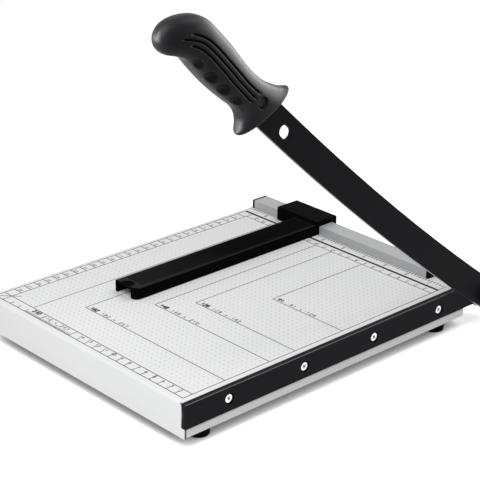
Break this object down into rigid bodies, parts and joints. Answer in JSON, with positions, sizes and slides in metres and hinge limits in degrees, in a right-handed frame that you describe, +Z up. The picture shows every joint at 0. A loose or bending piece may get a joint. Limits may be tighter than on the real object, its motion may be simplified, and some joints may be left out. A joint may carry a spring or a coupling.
{
  "type": "paper cutter",
  "caption": "Guillotine paper cutter: folded tray, fixed lower blade, bowed hinged blade arm with moulded grip, rear ruler rail and sliding paper stop.",
  "frame": {"origin": "on the table, under the centre of the bounding box, with the blade arm raised as in the picture", "axes": "+X to the cutting side, +Y to the rear, where the arm is hinged, +Z up"},
  "size_m": [0.2714, 0.387, 0.3361],
  "materials": {
    "tray_paint": "light grey powder coat, printed",
    "black_steel": "black coat, ground cutting edge",
    "zinc_steel": "bright zinc plate",
    "blackened_steel": "black oxide",
    "spring_steel": "cold rolled",
    "rail_aluminium": "extruded, clear anodised",
    "cap_plastic": "moulded",
    "stop_plastic": "moulded",
    "grip_plastic": "moulded, satin",
    "bush_bronze": "sintered",
    "foot_rubber": "moulded"
  },
  "bodies": {
    "base": {"base_tray": "tray_paint", "lower_blade": "black_steel", "lower_blade_screws": "zinc_steel", "lower_blade_nuts": "zinc_steel", "ruler_rail": "rail_aluminium", "ruler_cap_left": "cap_plastic", "ruler_cap_right": "cap_plastic", "ruler_screws": "zinc_steel", "pivot_bolt": "blackened_steel", "pivot_washer_outer": "blackened_steel", "pivot_disc_springs": "spring_steel", "pivot_washer_inner": "zinc_steel", "pivot_lock_nut": "zinc_steel", "foot_front_left": "foot_rubber", "foot_front_right": "foot_rubber", "foot_rear_left": "foot_rubber", "foot_rear_right": "foot_rubber", "foot_screws": "zinc_steel", "foot_nuts": "zinc_steel"},
    "arm": {"blade_arm": "black_steel", "handle_grip": "grip_plastic", "handle_screw": "blackened_steel", "handle_nut": "zinc_steel", "pivot_bush": "bush_bronze"},
    "stop": {"paper_stop": "stop_plastic", "stop_spring": "spring_steel", "stop_spring_screw": "zinc_steel"}
  },
  "joints": [
    {"name": "blade_hinge", "type": "hinge", "parent": "base", "child": "arm", "pos_m": [0.12028, 0.18052, 0.0251], "axis": [-1, 0, 0], "range_deg": [-36.4, 38]},
    {"name": "stop_slide", "type": "slide", "parent": "base", "child": "stop", "axis": [1, 0, 0], "range_m": [-0.035, 0.128]}
  ]
}
